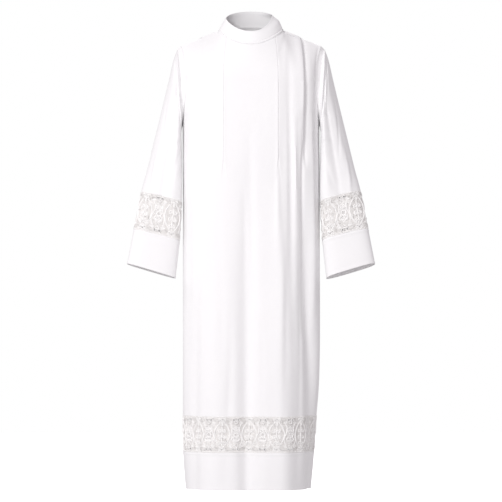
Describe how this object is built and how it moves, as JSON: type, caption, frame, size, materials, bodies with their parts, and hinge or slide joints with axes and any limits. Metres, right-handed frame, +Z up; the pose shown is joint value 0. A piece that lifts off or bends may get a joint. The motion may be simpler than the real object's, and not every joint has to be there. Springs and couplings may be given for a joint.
{
  "type": "alb robe",
  "caption": "White ankle-length alb, worn by no one: hollow body with pleated front, stand-up collar, wide sleeves, and lace set into sleeves and hem",
  "frame": {"origin": "between the shoulders, level with the base of the neck, where the wearer carries the robe", "axes": "+Z up, the robe's front faces -Y, the wearer's left is +X"},
  "size_m": [0.772, 0.3165, 1.4782],
  "materials": {
    "body_cloth": "smooth plain-woven white cloth, matte with a slight sheen",
    "band_cloth": "the same white cloth, doubled and pressed",
    "lace": "ivory-white embroidered net"
  },
  "bodies": {
    "root": {"front_body": "body_cloth", "back_body": "body_cloth", "sleeve_left": "body_cloth", "sleeve_right": "body_cloth", "collar": "band_cloth", "shoulder_placket": "band_cloth", "sleeve_lace_left_front": "lace", "sleeve_lace_left_back": "lace", "sleeve_lace_right_front": "lace", "sleeve_lace_right_back": "lace", "cuff_left": "band_cloth", "cuff_right": "band_cloth", "hem_lace_front": "lace", "hem_lace_back": "lace", "hem_band_front": "band_cloth", "hem_band_back": "band_cloth"}
  },
  "joints": []
}
